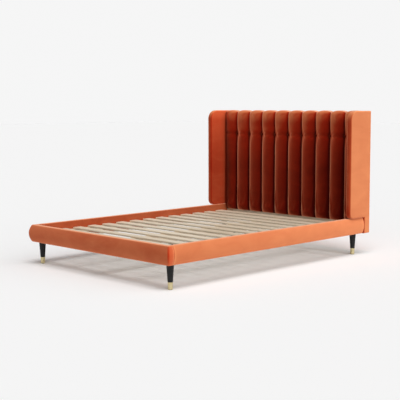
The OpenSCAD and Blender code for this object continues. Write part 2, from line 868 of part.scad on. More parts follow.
corner_bolts();
wing_bolts();
block_screws();
ledger_screws();
hanger_screws();
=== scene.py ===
import json
import math

import bmesh
import bpy
from mathutils import Matrix, Vector, noise


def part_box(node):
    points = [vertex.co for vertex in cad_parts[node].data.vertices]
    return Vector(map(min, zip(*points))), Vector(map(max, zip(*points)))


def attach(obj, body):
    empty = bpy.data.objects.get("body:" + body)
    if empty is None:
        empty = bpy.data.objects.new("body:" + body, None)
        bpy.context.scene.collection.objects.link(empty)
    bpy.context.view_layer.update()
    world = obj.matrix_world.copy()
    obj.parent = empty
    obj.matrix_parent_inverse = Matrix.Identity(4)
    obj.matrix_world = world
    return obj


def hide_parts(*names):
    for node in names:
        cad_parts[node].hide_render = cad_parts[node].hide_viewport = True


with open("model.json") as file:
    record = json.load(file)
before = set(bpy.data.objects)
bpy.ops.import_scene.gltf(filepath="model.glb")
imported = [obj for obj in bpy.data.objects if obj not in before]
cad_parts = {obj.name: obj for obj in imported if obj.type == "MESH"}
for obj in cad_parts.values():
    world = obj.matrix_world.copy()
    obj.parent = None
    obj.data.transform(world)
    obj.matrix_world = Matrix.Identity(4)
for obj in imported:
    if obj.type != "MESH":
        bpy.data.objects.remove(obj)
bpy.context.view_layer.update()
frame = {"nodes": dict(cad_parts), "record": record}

# The photograph's camera: place in metres, angles in degrees, focal length in pixels of a 400 pixel frame
CAMERA_PLACE = (4.886, -4.856, 1.164)
CAMERA_YAW = 45.41
CAMERA_DOWN = 5.985
CAMERA_ROLL = -0.18
FOCAL_PX = 923.7
FRAME_PX = 400
SENSOR_MM = 36.0

# Light: strengths at which a white surface facing the key renders white
BACKDROP = 0.919
FLOOR_BOUNCE = 0.82
FLOOR_SEEN = 0.980
FILL = 0.10
SIDE_FILL = 1.80
SIDE_RISE = 2.5
KEY_AZIMUTH = -30
KEY_ELEVATION = 72
KEY_SPREAD = 36
KEY_STRENGTH = 1.54

# Sizes of the upholstery, in metres
RAIL_EDGE_T = 0.036
RAIL_EDGE_R = 0.004
RAIL_CORNER_R = 0.012
RAIL_BACK_R = 0.003
RAIL_END_R = 0.002
RAIL_CELL = 0.009
WING_EDGE_R = 0.009
WING_TOP_R = 0.075
WING_LOW_R = 0.045
WING_CELL = 0.010
CHANNELS = 10
SEAM_DEPTH = 0.010
CROWN_DEPTH = 0.045
BUTTON_SEAT = 0.009
TUFT_W = 0.026
TUFT_H = 0.042
CREASE_DEPTH = 0.0055
CREASE_H = 0.011
ROLL_H = 0.052
ROLL_RISE = 0.006
ROLL_DIP = 0.018
PAD_TAIL = 0.05
COVER_EDGE_R = 0.0018

# Boards and fittings: eased edges, in metres
SLATS = 14
SLAT_W = 0.070
SLAT_EDGE_R = 0.003
EASED = {"softwood": 0.0015, "plywood": 0.0008, "black_lacquered_wood": 0.001, "brass": 0.0005,
         "painted_steel": 0.0005}

# How far the cloth may move from the shaped foam while it settles, in metres
PAD_REACH = 0.008
RAIL_REACH = 0.002
WING_REACH = 0.002
CLOTH_PRESSURE = 4.0
CLOTH_FRAMES = 20


def material(name, colour, roughness, **sockets):
    """A material with a Principled shader; returns the material, its node tree and the shader."""
    made = bpy.data.materials.new(name)
    made.use_nodes = True
    tree = made.node_tree
    shader = tree.nodes["Principled BSDF"]
    shader.inputs["Base Color"].default_value = (*colour, 1)
    shader.inputs["Roughness"].default_value = roughness
    for socket, value in sockets.items():
        shader.inputs[socket.replace("_", " ")].default_value = value
    return made, tree, shader


def node(tree, kind, **settings):
    made = tree.nodes.new(kind)
    for key, value in settings.items():
        if hasattr(made, key):
            setattr(made, key, value)
        else:
            made.inputs[key.replace("_", " ")].default_value = value
    return made


def new_group(name, inputs, outputs):
    """A shader node group with named number inputs and named outputs."""
    tree = bpy.data.node_groups.new(name, "ShaderNodeTree")
    for socket, value in inputs.items():
        made = tree.interface.new_socket(name=socket, in_out="INPUT", socket_type="NodeSocketFloat")
        made.default_value = value
    for socket in outputs:
        tree.interface.new_socket(name=socket, in_out="OUTPUT", socket_type="NodeSocketFloat")
    return tree, tree.nodes.new("NodeGroupInput"), tree.nodes.new("NodeGroupOutput")


def placed(tree, group, **values):
    made = tree.nodes.new("ShaderNodeGroup")
    made.node_tree = group
    for key, value in values.items():
        made.inputs[key].default_value = value
    return made


def multiply_add(tree, value, factor, added, clamped=False):
    made = node(tree, "ShaderNodeMath", operation="MULTIPLY_ADD", use_clamp=clamped)
    tree.links.new(value, made.inputs[0])
    for slot, number in ((1, factor), (2, added)):
        if isinstance(number, (int, float)):
            made.inputs[slot].default_value = number
        else:
            tree.links.new(number, made.inputs[slot])
    return made.outputs[0]


def noise_on(tree, scale, detail=2.0, rough=0.5, stretch=(1, 1, 1), distortion=0.0):
    """Noise on object coordinates, with the pattern stretched along each axis."""
    where = tree.nodes.new("ShaderNodeTexCoord")
    turned = node(tree, "ShaderNodeMapping")
    turned.inputs["Scale"].default_value = stretch
    texture = node(tree, "ShaderNodeTexNoise", Detail=detail, Roughness=rough, Distortion=distortion)
    if isinstance(scale, (int, float)):
        texture.inputs["Scale"].default_value = scale
    else:
        tree.links.new(scale, texture.inputs["Scale"])
    tree.links.new(where.outputs["Object"], turned.inputs["Vector"])
    tree.links.new(turned.outputs["Vector"], texture.inputs["Vector"])
    return texture.outputs["Fac"]


def mixed(tree, blend, amount, first, second):
    """Two colours mixed; each value is a socket or a constant."""
    made = node(tree, "ShaderNodeMix", data_type="RGBA", blend_type=blend)
    for slot, value in ((0, amount), (6, first), (7, second)):
        if isinstance(value, (float, tuple)):
            made.inputs[slot].default_value = value
        else:
            tree.links.new(value, made.inputs[slot])
    return made.outputs[2]


def ramp(tree, value, *stops):
    """A colour ramp from (place, colour) stops."""
    made = tree.nodes.new("ShaderNodeValToRGB")
    elements = made.color_ramp.elements
    for index, (place, colour) in enumerate(stops):
        stop = elements[index] if index < len(elements) else elements.new(place)
        stop.position = place
        stop.color = (*colour, 1) if len(colour) == 3 else colour
    tree.links.new(value, made.inputs["Fac"])
    return made.outputs["Color"]


def bump(tree, shader, height, strength, distance):
    made = node(tree, "ShaderNodeBump", Strength=strength, Distance=distance)
    tree.links.new(height, made.inputs["Height"])
    tree.links.new(made.outputs["Normal"], shader.inputs["Normal"])


# Shared effects

def pile_group():
    """Velvet pile: a height of fine tufts and a mask of soft patches where it was brushed another way."""
    inputs = {"Pile scale": 900.0, "Patch scale": 4.0}
    tree, given, out = new_group("velvet_pile", inputs, ("Height", "Brushed"))
    fine = noise_on(tree, given.outputs["Pile scale"], detail=1.0)
    tree.links.new(fine, out.inputs["Height"])
    wide = noise_on(tree, given.outputs["Patch scale"], detail=4.0, rough=0.55, stretch=(1, 1, 2.2),
                    distortion=0.6)
    tree.links.new(wide, out.inputs["Brushed"])
    return tree


def grain_group(axis):
    """Wood grain along one axis: long streaks, rings between them and pores."""
    tree, given, out = new_group("wood_grain_" + "XYZ"[axis], {"Scale": 30.0}, ("Streaks", "Pores"))
    along = [0.04 if i == axis else 1 for i in range(3)]
    streaks = noise_on(tree, given.outputs["Scale"], detail=5.0, rough=0.6, stretch=along, distortion=0.4)
    pores = noise_on(tree, 900.0, detail=1.0, stretch=along)
    tree.links.new(streaks, out.inputs["Streaks"])
    tree.links.new(pores, out.inputs["Pores"])
    return tree


def scuff_group():
    """Faint cloudy wear and fine hairline marks for lacquer, metal and plastic."""
    tree, given, out = new_group("scuffs", {"Scale": 40.0}, ("Clouds", "Hairlines"))
    clouds = noise_on(tree, given.outputs["Scale"], detail=4.0, rough=0.6)
    hairlines = noise_on(tree, 260.0, detail=2.0, stretch=(1, 1, 0.05))
    tree.links.new(clouds, out.inputs["Clouds"])
    tree.links.new(hairlines, out.inputs["Hairlines"])
    return tree


PILE = pile_group()
GRAINS = [grain_group(axis) for axis in range(3)]
SCUFFS = scuff_group()


# Materials

def velvet(name, tones, vivid, rims, sheen_tint, sheen):
    """Velvet with painted light and shade: dark, deep and pale tones picked by a painted light level and
    brushed patches, with painted shade where it faces the view and a painted sheen where it is seen at a
    slant.

    Two point attributes steer it: one sets the painted light and shade, from -1 for painted shade to 1 for
    painted light, and one a painted glow, from 0 to 1.
    """
    dark, deep, pale = tones
    made, tree, shader = material(name, deep, 0.9, Sheen_Weight=sheen, Sheen_Roughness=0.45,
                                  Sheen_Tint=(*sheen_tint, 1), Specular_IOR_Level=0.03)
    pile = placed(tree, PILE)
    nap = node(tree, "ShaderNodeAttribute", attribute_name="nap").outputs["Fac"]
    painted_glow_amount = node(tree, "ShaderNodeAttribute", attribute_name="vivid").outputs["Fac"]
    # The painted light level, plus the brushed patches' random tone, picks the dark, deep or pale tone.
    painted_level = multiply_add(tree, nap, 0.5, multiply_add(tree, pile.outputs["Brushed"], 0.26, 0.37))
    colour = ramp(tree, painted_level, (0.0, dark), (0.5, deep), (1.0, pale))
    # The painted glow mixes in its own colour.
    colour = mixed(tree, "MIX", painted_glow_amount, colour, (*vivid, 1))
    slant = tree.nodes.new("ShaderNodeLayerWeight").outputs["Facing"]
    # Painted shade: darker and redder where the surface faces the view head-on.
    shade = ramp(tree, slant, (0.0, (0.60, 0.26, 0.20)), (0.29, (0.80,) * 3), (0.60, (1.0,) * 3))
    # Painted sheen: a paler colour mixed in where the surface is seen at a slant, less where the painted
    # shade is deep.
    painted_sheen = ramp(tree, slant, (0.31, (0.0,) * 3), (0.50, (0.12,) * 3), (0.62, (0.42,) * 3),
                (0.76, (0.95,) * 3))
    rim = ramp(tree, slant, (0.60, rims[0]), (0.90, rims[1]))
    painted_sheen_amount = multiply_add(tree, painted_sheen, multiply_add(tree, nap, 1.0, 1.6, clamped=True), 0.0)
    shaded = mixed(tree, "MULTIPLY", 1.0, colour, shade)
    with_painted_sheen = mixed(tree, "MIX", painted_sheen_amount, shaded, rim)
    tree.links.new(with_painted_sheen, shader.inputs["Base Color"])
    # The shader's sheen grows with the painted light level.
    tree.links.new(multiply_add(tree, nap, 0.15, sheen, clamped=True), shader.inputs["Sheen Weight"])
    tree.links.new(multiply_add(tree, pile.outputs["Brushed"], -0.2, 1.0), shader.inputs["Roughness"])
    bump(tree, shader, pile.outputs["Height"], 0.25, 0.0006)
    return made


def wood(name, dark, light, scale, roughness, axis):
    made, tree, shader = material(name, light, roughness, Specular_IOR_Level=0.35)
    grain = placed(tree, GRAINS[axis], Scale=scale)
    colour = ramp(tree, grain.outputs["Streaks"], (0.30, dark), (0.55, light), (0.75, dark))
    tree.links.new(colour, shader.inputs["Base Color"])
    dulled = multiply_add(tree, grain.outputs["Pores"], 0.2, roughness - 0.1)
    tree.links.new(dulled, shader.inputs["Roughness"])
    bump(tree, shader, grain.outputs["Streaks"], 0.15, 0.0008)
    return made


def worn(name, dark, light, roughness, metallic=0.0, scale=40.0, **sockets):
    """Lacquer, metal or plastic with faint clouds of wear and hairlines in its gloss."""
    made, tree, shader = material(name, light, roughness, Metallic=metallic, **sockets)
    scuffs = placed(tree, SCUFFS, Scale=scale)
    colour = ramp(tree, scuffs.outputs["Clouds"], (0.35, dark), (0.65, light))
    tree.links.new(colour, shader.inputs["Base Color"])
    dulled = multiply_add(tree, scuffs.outputs["Hairlines"], 0.16, roughness - 0.08)
    tree.links.new(dulled, shader.inputs["Roughness"])
    bump(tree, shader, scuffs.outputs["Hairlines"], 0.05, 0.0003)
    return made


# Velvet tones for the painted light level: dark for painted shade, deep, and pale for painted light; then the
# painted sheen colours and the painted glow colour.
VELVET_TONES = ((0.09, 0.007, 0.003), (0.44, 0.037, 0.0105), (0.97, 0.36, 0.147))
VELVET_PAINTED_SHEEN = ((0.88, 0.28, 0.14), (0.95, 0.50, 0.32))
VELVET = velvet("burnt orange velvet", VELVET_TONES, (1.0, 0.14, 0.045), VELVET_PAINTED_SHEEN, (1.0, 0.5, 0.3), 0.25)
WOODS = {
    "softwood": ("planed pine", (0.56, 0.42, 0.27), (0.72, 0.58, 0.41), 26.0, 0.62),
    "slat_timber": ("birch slats", (0.58, 0.46, 0.32), (0.76, 0.65, 0.50), 22.0, 0.5),
    "plywood": ("birch plywood", (0.55, 0.43, 0.29), (0.70, 0.58, 0.43), 34.0, 0.6),
}
FINISHES = {
    "velvet": VELVET,
    "velvet_buttons": VELVET,
    "black_lacquered_wood": worn("black satin lacquer", (0.007, 0.007, 0.007), (0.012, 0.012, 0.012), 0.5,
                                 Specular_IOR_Level=0.25),
    "brass": worn("brushed brass", (0.56, 0.48, 0.26), (0.70, 0.62, 0.38), 0.30, metallic=1.0, scale=60.0),
    "felt": worn("pressed felt", (0.03, 0.028, 0.026), (0.06, 0.056, 0.05), 0.95, scale=300.0),
    "webbing": worn("cotton webbing", (0.52, 0.49, 0.43), (0.66, 0.63, 0.56), 0.9, scale=200.0),
    "painted_steel": worn("black powder coat", (0.02, 0.02, 0.021), (0.035, 0.035, 0.037), 0.5),
    "zinc_plated_steel": worn("zinc plate", (0.42, 0.43, 0.45), (0.60, 0.61, 0.63), 0.35, metallic=1.0),
    "black_nylon": worn("moulded nylon", (0.012, 0.012, 0.013), (0.022, 0.022, 0.023), 0.55),
}
for kind, values in WOODS.items():
    for grain_axis in range(3):
        FINISHES[kind + "XYZ"[grain_axis]] = wood(*values, grain_axis)


# Pieces

def finished(name, bm, finish, stands_for=(), body="bed", smooth=True):
    """A mesh object from a bmesh, with its material, body and the CAD nodes that it stands for."""
    bmesh.ops.recalc_face_normals(bm, faces=bm.faces)
    mesh = bpy.data.meshes.new(name)
    bm.to_mesh(mesh)
    bm.free()
    mesh.materials.append(FINISHES[finish])
    if smooth:
        mesh.polygons.foreach_set("use_smooth", [True] * len(mesh.polygons))
    piece = bpy.data.objects.new(name, mesh)
    bpy.context.scene.collection.objects.link(piece)
    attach(piece, body)
    if stands_for:
        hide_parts(*stands_for)
    return piece


def block(lo, hi):
    """A box between two corners."""
    bm = bmesh.new()
    bmesh.ops.create_cube(bm, size=1)
    size = Vector(hi) - Vector(lo)
    bmesh.ops.scale(bm, vec=size, verts=bm.verts)
    bmesh.ops.translate(bm, vec=Vector(lo) + size / 2, verts=bm.verts)
    return bm


def rounded(bm, edges, radius, segments=3):
    bmesh.ops.bevel(bm, geom=edges, offset=radius, segments=segments, profile=0.5, affect="EDGES",
                    material=-1)


def sliced(bm, axis, start, stop, step):
    """Cuts a mesh across an axis at even steps."""
    count = max(1, round((stop - start) / step))
    normal = Vector([1.0 if i == axis else 0.0 for i in range(3)])
    for i in range(1, count):
        everything = bm.verts[:] + bm.edges[:] + bm.faces[:]
        at = normal * (start + (stop - start) * i / count)
        bmesh.ops.bisect_plane(bm, geom=everything, dist=1e-6, plane_co=at, plane_no=normal)


def bulge_at(z, low, high, rise):
    """How far a rail's rounded face stands out at height z: an arc between its two edges."""
    half = (high - low) / 2
    radius = (half * half + rise * rise) / (2 * rise)
    off = min(abs(z - (low + high) / 2), half)
    return math.sqrt(radius * radius - off * off) - (radius - rise)


def ripple(place, scale, depth):
    """A soft unevenness of stuffed cloth."""
    return depth * noise.noise(Vector(place) * scale)


def mark_painted_light(piece, nap, vivid=lambda place, normal: 0.0):
    """Marks on each point its level of painted light and shade and its painted glow."""
    mesh = piece.data
    for name, rule in (("nap", nap), ("vivid", vivid)):
        layer = mesh.attributes.new(name, "FLOAT", "POINT")
        layer.data.foreach_set("value", [rule(v.co, v.normal) for v in mesh.vertices])


def eased(value, start, end):
    """Goes smoothly from 0 at start to 1 at end."""
    t = min(1.0, max(0.0, (value - start) / (end - start)))
    return t * t * (3 - 2 * t)


def settled(piece, hold, reach, slack=0.0):
    """Lets a pad's cloth settle over its filling under pressure; no point moves further than its reach."""
    mesh = piece.data
    held = piece.vertex_groups.new(name="held")
    for v in mesh.vertices:
        held.add([v.index], hold(v.co, v.normal), "REPLACE")
    cloth = piece.modifiers.new("cloth", "CLOTH")
    cloth.settings.quality = 5
    cloth.settings.mass = 0.3
    cloth.settings.tension_stiffness = 15
    cloth.settings.compression_stiffness = 15
    cloth.settings.shear_stiffness = 5
    cloth.settings.bending_stiffness = 0.5
    cloth.settings.use_pressure = True
    cloth.settings.uniform_pressure_force = CLOTH_PRESSURE
    cloth.settings.effector_weights.gravity = 0
    cloth.settings.vertex_group_mass = held.name
    cloth.settings.shrink_min = -slack
    cloth.collision_settings.use_collision = False
    cloth.point_cache.frame_end = CLOTH_FRAMES
    for step in range(1, CLOTH_FRAMES + 1):
        bpy.context.scene.frame_set(step)
    result = piece.evaluated_get(bpy.context.evaluated_depsgraph_get()).data
    places = [v.co.copy() for v in result.vertices]
    piece.modifiers.remove(cloth)
    piece.vertex_groups.clear()
    bpy.context.scene.frame_set(1)
    for v, place in zip(mesh.vertices, places):
        move = place - v.co
        most = reach(v.co)
        if move.length > most:
            move *= most / move.length
        v.co += move
    mesh.update()
    smooth = piece.modifiers.new("smooth", "SUBSURF")
    smooth.levels = smooth.render_levels = 1


def rail_pad(name, lo, hi, outer, rise, stands_for):
    """A padded rail between two corners; outer names its rounded faces, such as '+x' or '-y'."""
    bm = block(lo, hi)
    upright = [e for e in bm.edges if abs(e.verts[0].co.z - e.verts[1].co.z) > 0.01]
    front, back = [[e for e in upright if abs(e.verts[0].co.y - y) < 0.01] for y in (lo[1], hi[1])]
    rounded(bm, back, RAIL_BACK_R, 3)
    rounded(bm, front, RAIL_CORNER_R if "-y" in outer else RAIL_END_R, 4)
    level = [e for e in bm.edges if abs(e.verts[0].co.z - e.verts[1].co.z) < 1e-5
             and len(e.link_faces) == 2 and e.calc_face_angle(0) > 0.5]
    rounded(bm, level, RAIL_EDGE_R, 2)
    for axis in range(3):
        sliced(bm, axis, lo[axis], hi[axis], RAIL_CELL)
    start = rise - RAIL_REACH / 2
    for v in bm.verts:
        x, y, z = v.co
        out = bulge_at(z, lo[2], hi[2], start) * (1 + ripple(v.co, 9.0, 0.06))
        if "+x" in outer and x > hi[0] - RAIL_EDGE_T:
            v.co.x += out * min(1, (x - hi[0] + RAIL_EDGE_T) / (RAIL_EDGE_T - RAIL_CORNER_R))
        if "-x" in outer and x < lo[0] + RAIL_EDGE_T:
            v.co.x -= out * min(1, (lo[0] + RAIL_EDGE_T - x) / (RAIL_EDGE_T - RAIL_CORNER_R))
        if "-y" in outer and y < lo[1] + RAIL_EDGE_T:
            v.co.y -= out * min(1, (lo[1] + RAIL_EDGE_T - y) / (RAIL_EDGE_T - RAIL_CORNER_R))
    piece = finished(name, bm, "velvet", stands_for)

    def hold(place, normal):
        """Holds the cloth along the rail's edges, inner side and ends, and lets the rounded face go."""
        face = max(normal.x * place.x / abs(place.x or 1), -normal.y, 0)
        edge = min(place.z - lo[2], hi[2] - place.z)
        return 0.0 if face > 0.75 and edge > 0.012 else 1.0

    settled(piece, hold, lambda place: RAIL_REACH)
    length = hi[1] - lo[1]

    def outer_side(place, normal):
        """How far a point faces outwards along X; at the foot rail's corners it grows towards the seam."""
        out = max(0, normal.x * math.copysign(1, place.x))
        return out * eased(place.y, lo[1] + 0.004, lo[1] + 0.056) if "-y" in outer else out

    def nap(place, normal):
        """Painted light: paler on the sides than at the foot, towards the headboard and underneath; painted
        highlights at the seams and top edge.
        """
        along = 0.0 if "-y" in outer else 0.20 * (place.y - lo[1]) / length - 0.06
        seam = math.exp(-min(hi[1] - place.y, 1 if "-y" in outer else place.y - lo[1]) / 0.008)
        tilt = 0.12 * max(0, -normal.z) + 0.35 * max(0, normal.z) ** 3
        return 0.32 + (0.43 + along + 0.60 * seam) * outer_side(place, normal) + tilt

    # Painted glow: more on the outer sides, most on the foot rail's ends beside its front corners.
    def vivid(place, normal):
        out = max(0, normal.x * math.copysign(1, place.x))
        return 0.03 + 0.11 * out + 0.35 * (out - outer_side(place, normal))

    mark_painted_light(piece, nap, vivid)


def foot_rail():
    lo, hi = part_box("foot_rail_pad")
    rise = (hi.y - lo.y) - RAIL_EDGE_T
    inner_lo = (lo.x + rise, lo.y + rise, lo.z)
    rail_pad("foot_rail_velvet", inner_lo, (hi.x - rise, hi.y, hi.z), "+x -x -y", rise, ["foot_rail_pad"])


def side_rail(side):
    lo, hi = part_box("side_rail_pad_" + side)
    rise = (hi.x - lo.x) - RAIL_EDGE_T
    if side == "right":
        corners, outer = ((lo.x, lo.y, lo.z), (hi.x - rise, hi.y, hi.z)), "+x"
    else:
        corners, outer = ((lo.x + rise, lo.y, lo.z), (hi.x, hi.y, hi.z)), "-x"
    rail_pad("side_rail_velvet_" + side, *corners, outer, rise, ["side_rail_pad_" + side])


def arc_points(y, z, radius, start, steps=12):
    """Points of a quarter circle in the Y-Z plane, from an angle in degrees."""
    angles = [math.radians(start + 90 * i / steps) for i in range(steps + 1)]
    return [(y + radius * math.cos(a), z + radius * math.sin(a)) for a in angles]


def wing(side):
    """A wing: an upright padded board with soft edges, whose rear part runs down behind the side rail."""
    lo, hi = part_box("wing_pad_" + side)
    rail_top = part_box("side_rail_pad_" + side)[1].z
    back_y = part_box("headboard_front_board")[0].y
    outline = [(hi.y, lo.z), (hi.y, hi.z)]
    outline += arc_points(lo.y + WING_TOP_R, hi.z - WING_TOP_R, WING_TOP_R, 90)
    outline += arc_points(lo.y + WING_LOW_R, rail_top + WING_LOW_R, WING_LOW_R, 180)
    outline += [(back_y, rail_top), (back_y, lo.z)]
    bm = bmesh.new()
    face = bm.faces.new([bm.verts.new((lo.x, y, z)) for y, z in outline])
    grown = bmesh.ops.extrude_face_region(bm, geom=[face])
    moved = [v for v in grown["geom"] if isinstance(v, bmesh.types.BMVert)]
    bmesh.ops.translate(bm, vec=(hi.x - lo.x, 0, 0), verts=moved)
    bmesh.ops.recalc_face_normals(bm, faces=bm.faces)
    rims = [e for e in bm.edges if abs(e.verts[0].co.x - e.verts[1].co.x) < 1e-6]
    rounded(bm, rims, WING_EDGE_R, 4)
    sliced(bm, 1, lo.y, hi.y, WING_CELL)
    sliced(bm, 2, lo.z, hi.z, WING_CELL)
    sliced(bm, 0, lo.x, hi.x, WING_CELL)
    piece = finished("wing_velvet_" + side, bm, "velvet", ["wing_pad_" + side])

    def hold(place, normal):
        """Holds the flat faces at the board and lets the cloth go along the soft front and top edges."""
        if place.y > back_y - 0.02 or place.z < rail_top + 0.01:
            return 1.0
        return 0.35 if abs(normal.x) > 0.9 else 0.0

    settled(piece, hold, lambda place: WING_REACH)
    outward = 1 if side == "right" else -1

    def nap(place, normal):
        """Painted light: palest on the outer face and the top edge, and inside near the top; a little paler
        on the front band.
        """
        inner = max(0, -normal.x * outward)
        outer = max(0, normal.x * outward)
        painted_level = 0.02 + 0.08 * max(0, -normal.y) + 0.7 * max(0, normal.z)
        painted_level += (0.72 if place.z > rail_top else 0.78) * outer
        return painted_level + 0.6 * inner * eased(place.z, hi.z - 0.09, hi.z - 0.01)

    def vivid(place, normal):
        """Painted glow on the inner faces beside the channels, most of all near the top and towards the back.
        """
        inner = max(0, -normal.x * outward)
        glow = 0.16 + 0.34 * eased(place.z, 0.60, 1.05) + 0.2 * eased(place.z, hi.z - 0.10, hi.z - 0.02)
        glow += 0.12 * eased(place.y, 0.86, 0.99)
        return 0.06 + glow * inner

    mark_painted_light(piece, nap, vivid)


def button_places():
    """Centres of the buttons on the seams: x and z."""
    lo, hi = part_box("tuft_buttons")
    radius = (hi.z - lo.z) / 2
    count = CHANNELS - 1
    first, last = lo.x + radius, hi.x - radius
    return [(first + (last - first) * i / (count - 1), (lo.z + hi.z) / 2) for i in range(count)], radius


def crown(u):
    """Fullness of a channel, from 0 at its seams to 1 at its crown."""
    return (1 - u ** 2) ** 0.8


def channel_depth(x, z, u, places, low):
    """Depth of the channel pad in front of its board."""
    button_z = places[0][1]
    full = SEAM_DEPTH + (CROWN_DEPTH - SEAM_DEPTH) * crown(u)
    full -= CREASE_DEPTH * math.exp(-((z - button_z) / CREASE_H) ** 2) * crown(u)
    pull = 0.0
    pleat = 0.0
    for bx, bz in places:
        dx, dz = x - bx, z - bz
        if abs(dx) > 0.16 or abs(dz) > 0.25:
            continue
        pull = max(pull, math.exp(-math.hypot(dx / TUFT_W, dz / TUFT_H) ** 1.25))
        reach = math.hypot(dx, dz)
        folds = math.cos(7 * math.atan2(dz, abs(dx) + 1e-6))
        pleat += 0.0022 * folds * math.exp(-((reach - 0.03) / 0.022) ** 2)
    tucked = full - (full - BUTTON_SEAT) * pull + pleat * crown(u)
    tucked += (ripple((x, 3.1, z), 7.0, 0.0030) + ripple((x, 7.7, z), 22.0, 0.0010)) * crown(u)
    if z < low + PAD_TAIL:
        tucked *= math.sqrt(max(0.05, 1 - ((low + PAD_TAIL - z) / PAD_TAIL) ** 2 * 0.85))
    return tucked


def channel_pad():
    """The headboard's front: channels between sewn seams, pinched by the buttons and rolled over the top."""
    lo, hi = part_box("channel_pad")
    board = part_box("headboard_front_board")
    front_y, board_top = board[0].y, board[1].z
    places, button_r = button_places()
    width = (hi.x - lo.x) / CHANNELS
    step_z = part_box("side_rail_pad_right")[1].z + 0.002
    inner_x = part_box("side_rail_pad_right")[0].x - 0.001
    end_seam = hi.x - width

    def narrowed(x, z):
        """Below the top of the side rails the end channels narrow to fit between the rails."""
        if z > step_z or abs(x) < end_seam:
            return x
        return math.copysign(end_seam + (abs(x) - end_seam) * (inner_x - end_seam) / width, x)

    across = [-1, -0.97, -0.90, -0.79, -0.65, -0.49, -0.33, -0.16, 0]
    across += [-u for u in reversed(across[1:-1])]
    columns = [(lo.x + width * (c + (u + 1) / 2), u) for c in range(CHANNELS) for u in across] + [(hi.x, 1.0)]
    roll_z = hi.z - ROLL_H
    rows = [lo.z, lo.z + 0.006, lo.z + 0.014, lo.z + 0.024, lo.z + 0.034, step_z, step_z + 0.001]
    z = step_z + 0.010
    while z < roll_z - 0.004:
        rows.append(z)
        z += 0.005 if abs(z - places[0][1]) < 0.07 else 0.010
    bm = bmesh.new()
    grid = []
    for x, u in columns:
        points = []
        for row in rows:
            points.append((narrowed(x, row), front_y - channel_depth(x, row, u, places, lo.z), row))
        depth = channel_depth(x, roll_z, u, places, lo.z)
        top = hi.z + ROLL_RISE - ROLL_DIP * (1 - crown(u))
        for i in range(0, 11):
            a = math.radians(9 * i)
            points.append((x, front_y - depth * math.cos(a), roll_z + (top - roll_z) * math.sin(a)))
        for i in range(1, 8):
            points.append((x, front_y + (hi.y - front_y) * i / 7, top - 0.006 * max(0, 4 * i / 7 - 3)))
        points += [(x, hi.y, board_top), (x, front_y + 0.0005, board_top)]
        points += [(narrowed(x, z), front_y + 0.0005, z) for z in (step_z + 0.001, step_z, lo.z)]
        grid.append([bm.verts.new(point) for point in points])
    for left, right in zip(grid, grid[1:]):
        for j in range(len(left)):
            k = (j + 1) % len(left)
            bm.faces.new((left[j], left[k], right[k], right[j]))
    for end in (grid[0], grid[-1]):
        bm.faces.new(end)
    piece = finished("channel_pad_velvet", bm, "velvet", ["channel_pad"])

    def hold(place, normal):
        """Holds the cloth along its seams, its borders and round the buttons."""
        u = abs(((place.x - lo.x) / width) % 1 - 0.5) * 2
        near = min(math.hypot(place.x - bx, place.z - bz) for bx, bz in places)
        if u > 0.95 or near < 1.15 * button_r or place.z < step_z + 0.002 or place.y > front_y - 0.006:
            return 1.0
        return 0.5 if u > 0.85 else 0.0

    def reach(place):
        """The cloth fills out most along the middle of a channel."""
        u = ((place.x - lo.x) / width) % 1 * 2 - 1
        return PAD_REACH * max(0.15, 1 - u * u)

    settled(piece, hold, reach, slack=0.002)

    def nap(place, normal):
        """Painted shade at the seams, the corners and the crease, across each channel towards its right and
        more so towards the right wing, low down and beside the buttons; painted light on top.
        """
        across_bed = (place.x - lo.x) / (hi.x - lo.x)
        across_channel = ((place.x - lo.x) / width) % 1
        corner = place.x - lo.x
        above = place.z - places[0][1]
        painted_level = -0.20 - 0.75 * across_bed * (across_channel - 0.35)
        painted_level -= 0.60 * eased(across_channel, 0.86, 0.98)
        painted_level -= 1.5 * (1 - eased(across_channel, 0.01, 0.05))
        painted_level -= 0.8 * math.exp(-(corner / 0.065) ** 2) + 2.2 * math.exp(-(corner / 0.028) ** 2)
        painted_level -= 1.6 * math.exp(-((hi.x - place.x) / 0.015) ** 2)
        painted_level -= 0.28 * (1 - eased(place.z, 0.58, 0.88))
        painted_level -= 0.08 * math.exp(-((above - 0.014) / 0.016) ** 2)
        painted_level += 0.06 * math.exp(-((above + 0.022) / 0.016) ** 2)
        painted_level += 0.26 * eased(place.z, 0.84, 0.97)
        if across_channel > 0.5:
            near = min(math.hypot(place.x - bx, place.z - bz) for bx, bz in places)
            painted_level -= 0.7 * math.exp(-(near / 0.020) ** 2)
        return painted_level + 0.60 * eased(place.z, hi.z - 0.11, hi.z - 0.01)

    # Painted glow along the top roll, and a little at the left corner.
    def vivid(place, normal):
        corner = math.exp(-((place.x - lo.x) / 0.030) ** 2)
        return 0.22 * eased(place.z, hi.z - 0.10, hi.z - 0.02) + 0.05 * corner

    mark_painted_light(piece, nap, vivid)


